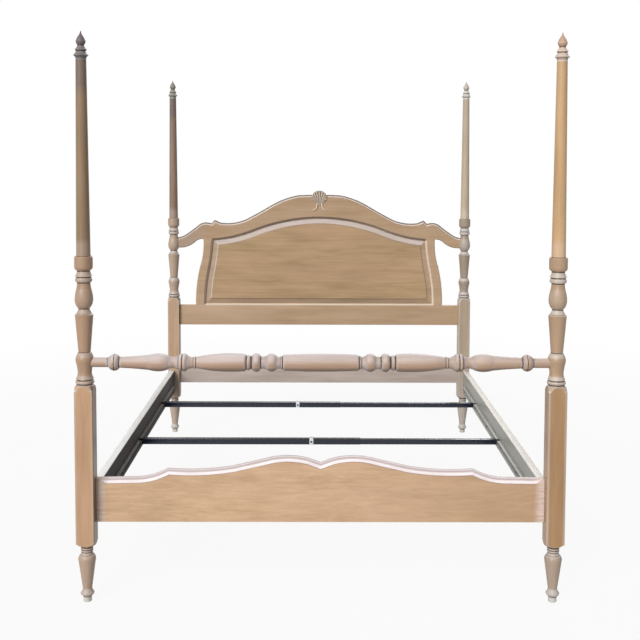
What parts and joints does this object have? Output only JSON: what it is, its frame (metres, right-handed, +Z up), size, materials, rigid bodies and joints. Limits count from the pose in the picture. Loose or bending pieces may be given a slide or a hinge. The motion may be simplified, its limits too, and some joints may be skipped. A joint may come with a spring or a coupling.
{
  "type": "poster bed",
  "caption": "Turned-post wooden poster bed with an arched raised-panel headboard, a low shaped footboard, a blanket rail, hook-in side rails and telescopic steel cross bars.",
  "frame": {"origin": "on the floor, in the middle of the four posts", "axes": "+Z up, +Y towards the headboard, +X to the right seen from the foot"},
  "size_m": [1.6756, 2.2036, 1.955],
  "materials": {
    "post_wood": "satin, lightly whitewashed",
    "pole_wood": "satin, lightly whitewashed",
    "finial_wood": "satin, lightly whitewashed",
    "headboard_wood": "satin",
    "panel_wood": "satin",
    "bead_wood": "satin, whitewashed",
    "shell_wood": "matte, whitewashed",
    "lower_rail_wood": "satin",
    "footboard_wood": "satin",
    "blanket_wood": "satin, whitewashed",
    "side_rail_wood": "satin",
    "ledger_wood": "matte",
    "bar_steel": "semi gloss",
    "clip_plastic": "matte",
    "dark_screw_steel": "satin",
    "fitting_steel": "zinc plated",
    "glide_plastic": "matte"
  },
  "bodies": {
    "bed_frame": {"post_front_left": "post_wood", "post_front_right": "post_wood", "post_rear_left": "post_wood", "post_rear_right": "post_wood", "foot_glides": "glide_plastic", "pole_studs": "fitting_steel", "headboard_crest_rail": "headboard_wood", "headboard_stile_left": "headboard_wood", "headboard_stile_right": "headboard_wood", "headboard_bottom_rail": "headboard_wood", "headboard_dowels": "headboard_wood", "headboard_panel": "panel_wood", "headboard_panel_moulding": "bead_wood", "headboard_shell_carving": "shell_wood", "headboard_lower_rail": "lower_rail_wood", "footboard_panel": "footboard_wood", "blanket_rail": "blanket_wood", "catch_plates": "fitting_steel", "catch_plate_screws": "fitting_steel"},
    "pole_front_left": {"pole_front_left": "pole_wood"},
    "finial_front_left": {"finial_front_left": "finial_wood", "finial_pin_front_left": "fitting_steel"},
    "pole_front_right": {"pole_front_right": "pole_wood"},
    "finial_front_right": {"finial_front_right": "finial_wood", "finial_pin_front_right": "fitting_steel"},
    "pole_rear_left": {"pole_rear_left": "pole_wood"},
    "finial_rear_left": {"finial_rear_left": "finial_wood", "finial_pin_rear_left": "fitting_steel"},
    "pole_rear_right": {"pole_rear_right": "pole_wood"},
    "finial_rear_right": {"finial_rear_right": "finial_wood", "finial_pin_rear_right": "fitting_steel"},
    "rail_left": {"side_rail_left": "side_rail_wood", "rail_ledger_left": "ledger_wood", "ledger_screws_left": "dark_screw_steel", "hook_plates_left": "fitting_steel", "hook_plate_screws_left": "fitting_steel", "cross_bar_outer_front": "bar_steel", "cross_bar_outer_rear": "bar_steel", "cross_bar_clips": "clip_plastic", "cross_bar_clip_screws": "dark_screw_steel", "cross_bar_tabs_left": "bar_steel", "cross_bar_rivets_left": "bar_steel"},
    "rail_right": {"side_rail_right": "side_rail_wood", "rail_ledger_right": "ledger_wood", "ledger_screws_right": "dark_screw_steel", "hook_plates_right": "fitting_steel", "hook_plate_screws_right": "fitting_steel"},
    "inner_bar_front": {"cross_bar_inner_front": "bar_steel", "cross_bar_tab_right_front": "bar_steel", "cross_bar_rivets_right_front": "bar_steel"},
    "inner_bar_rear": {"cross_bar_inner_rear": "bar_steel", "cross_bar_tab_right_rear": "bar_steel", "cross_bar_rivets_right_rear": "bar_steel"}
  },
  "joints": [
    {"name": "pole_lift_front_left", "type": "slide", "parent": "bed_frame", "child": "pole_front_left", "axis": [0, 0, 1], "range_m": [0, 0.055]},
    {"name": "finial_lift_front_left", "type": "slide", "parent": "pole_front_left", "child": "finial_front_left", "axis": [0, 0, 1], "range_m": [0, 0.04]},
    {"name": "pole_lift_front_right", "type": "slide", "parent": "bed_frame", "child": "pole_front_right", "axis": [0, 0, 1], "range_m": [0, 0.055]},
    {"name": "finial_lift_front_right", "type": "slide", "parent": "pole_front_right", "child": "finial_front_right", "axis": [0, 0, 1], "range_m": [0, 0.04]},
    {"name": "pole_lift_rear_left", "type": "slide", "parent": "bed_frame", "child": "pole_rear_left", "axis": [0, 0, 1], "range_m": [0, 0.055]},
    {"name": "finial_lift_rear_left", "type": "slide", "parent": "pole_rear_left", "child": "finial_rear_left", "axis": [0, 0, 1], "range_m": [0, 0.04]},
    {"name": "pole_lift_rear_right", "type": "slide", "parent": "bed_frame", "child": "pole_rear_right", "axis": [0, 0, 1], "range_m": [0, 0.055]},
    {"name": "finial_lift_rear_right", "type": "slide", "parent": "pole_rear_right", "child": "finial_rear_right", "axis": [0, 0, 1], "range_m": [0, 0.04]},
    {"name": "rail_lift_left", "type": "slide", "parent": "bed_frame", "child": "rail_left", "axis": [0, 0, 1], "range_m": [0, 0.01]},
    {"name": "rail_lift_right", "type": "slide", "parent": "bed_frame", "child": "rail_right", "axis": [0, 0, 1], "range_m": [0, 0.01]},
    {"name": "bar_slide_front", "type": "slide", "parent": "rail_left", "child": "inner_bar_front", "axis": [1, 0, 0], "range_m": [-0.2, 0]},
    {"name": "bar_slide_rear", "type": "slide", "parent": "rail_left", "child": "inner_bar_rear", "axis": [1, 0, 0], "range_m": [-0.2, 0]}
  ],
  "couplings": [
    {"joint": "rail_lift_right", "follows": "rail_lift_left", "ratio": 1}
  ]
}
